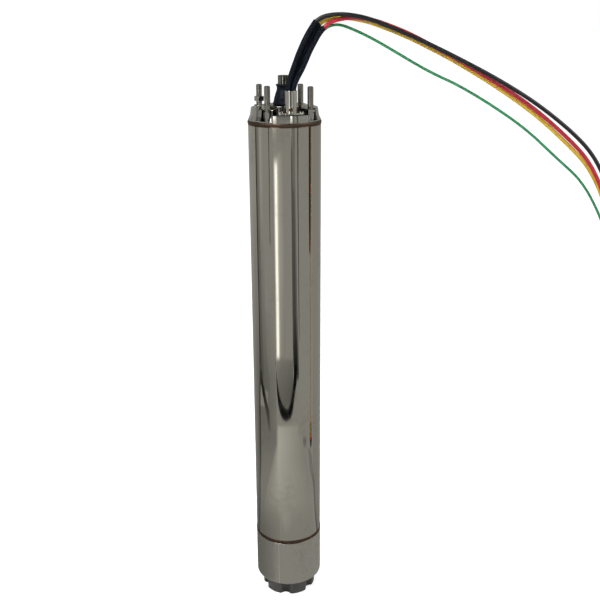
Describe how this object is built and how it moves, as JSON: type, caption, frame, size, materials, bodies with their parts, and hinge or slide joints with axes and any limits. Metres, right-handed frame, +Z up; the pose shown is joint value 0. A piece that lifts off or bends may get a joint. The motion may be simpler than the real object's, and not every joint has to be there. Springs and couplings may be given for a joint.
{
  "type": "submersible pump motor",
  "caption": "Slim cylindrical submersible pump motor with a splined shaft, threaded studs and a lead gland on top and a lobed foot below, its loose leads ending in a tied coil.",
  "frame": {"origin": "centre of the foot's underside, where the motor stands", "axes": "+Z up along the shaft; the lead gland is on the -Y side"},
  "size_m": [0.5888, 0.2386, 0.8074],
  "materials": {
    "can_steel": "polished stainless",
    "weld_steel": "heat-tinted weld",
    "sleeve_steel": "satin stainless",
    "cast_steel": "bright cast stainless",
    "bright_steel": "machined stainless",
    "shaft_steel": "machined stainless",
    "brown_screw": "dull brown",
    "black_rubber": "matt",
    "foot_plastic": "moulded",
    "sleeve_braid": "braided",
    "lead_black": "satin",
    "lead_yellow": "satin",
    "lead_red": "satin",
    "lead_green": "satin",
    "lamination": "stacked steel sheet",
    "copper": "enamelled copper",
    "carbon": "carbon graphite",
    "inner_casting": "machined casting",
    "washer_plastic": "moulded",
    "tie_plastic": "moulded"
  },
  "bodies": {
    "motor_body": {"stator_shell": "can_steel", "upper_weld_ring": "weld_steel", "lower_weld_ring": "weld_steel", "lower_sleeve": "sleeve_steel", "lobed_foot": "foot_plastic", "foot_screws": "bright_steel", "upper_end_bell": "cast_steel", "pump_studs": "bright_steel", "pump_stud_nuts": "bright_steel", "pump_stud_washers": "bright_steel", "gland_gasket": "black_rubber", "gland_plate": "bright_steel", "gland_tube": "bright_steel", "gland_set_screw": "brown_screw", "gland_screws": "bright_steel", "lead_grommet": "black_rubber", "fill_plug": "bright_steel", "upper_bearing_bush": "carbon", "lower_bearing_bush": "carbon", "shaft_seal": "black_rubber", "stator_core": "lamination", "stator_winding": "copper", "stator_liner": "bright_steel", "lower_bearing_carrier": "inner_casting", "upthrust_washer": "washer_plastic", "thrust_pads": "bright_steel", "thrust_pad_carrier": "inner_casting", "thrust_pivot_screw": "bright_steel", "thrust_housing": "inner_casting", "diaphragm": "black_rubber", "diaphragm_cover": "washer_plastic", "diaphragm_spring": "bright_steel", "black_lead_sleeve": "sleeve_braid", "yellow_lead_sleeve": "sleeve_braid", "red_lead_sleeve": "sleeve_braid", "lead_black": "lead_black", "lead_yellow": "lead_yellow", "lead_red": "lead_red", "lead_green": "lead_green", "lead_coil": "lead_black", "coil_tie": "tie_plastic"},
    "rotor": {"splined_shaft": "shaft_steel", "sand_slinger_boot": "black_rubber", "rotor_core": "lamination", "rotor_end_rings": "copper", "thrust_disc": "bright_steel"},
    "diaphragm_plate": {"diaphragm_plate": "bright_steel"}
  },
  "joints": [
    {"name": "rotor_spin", "type": "hinge", "parent": "motor_body", "child": "rotor", "pos_m": [0, 0, 0], "axis": [0, 0, 1], "continuous": true},
    {"name": "diaphragm_travel", "type": "slide", "parent": "motor_body", "child": "diaphragm_plate", "axis": [0, 0, 1], "range_m": [-0.004, 0.004], "stiffness_N_per_m": 600, "springref_m": 0.0004, "deforming": ["diaphragm_spring", "diaphragm"]}
  ]
}
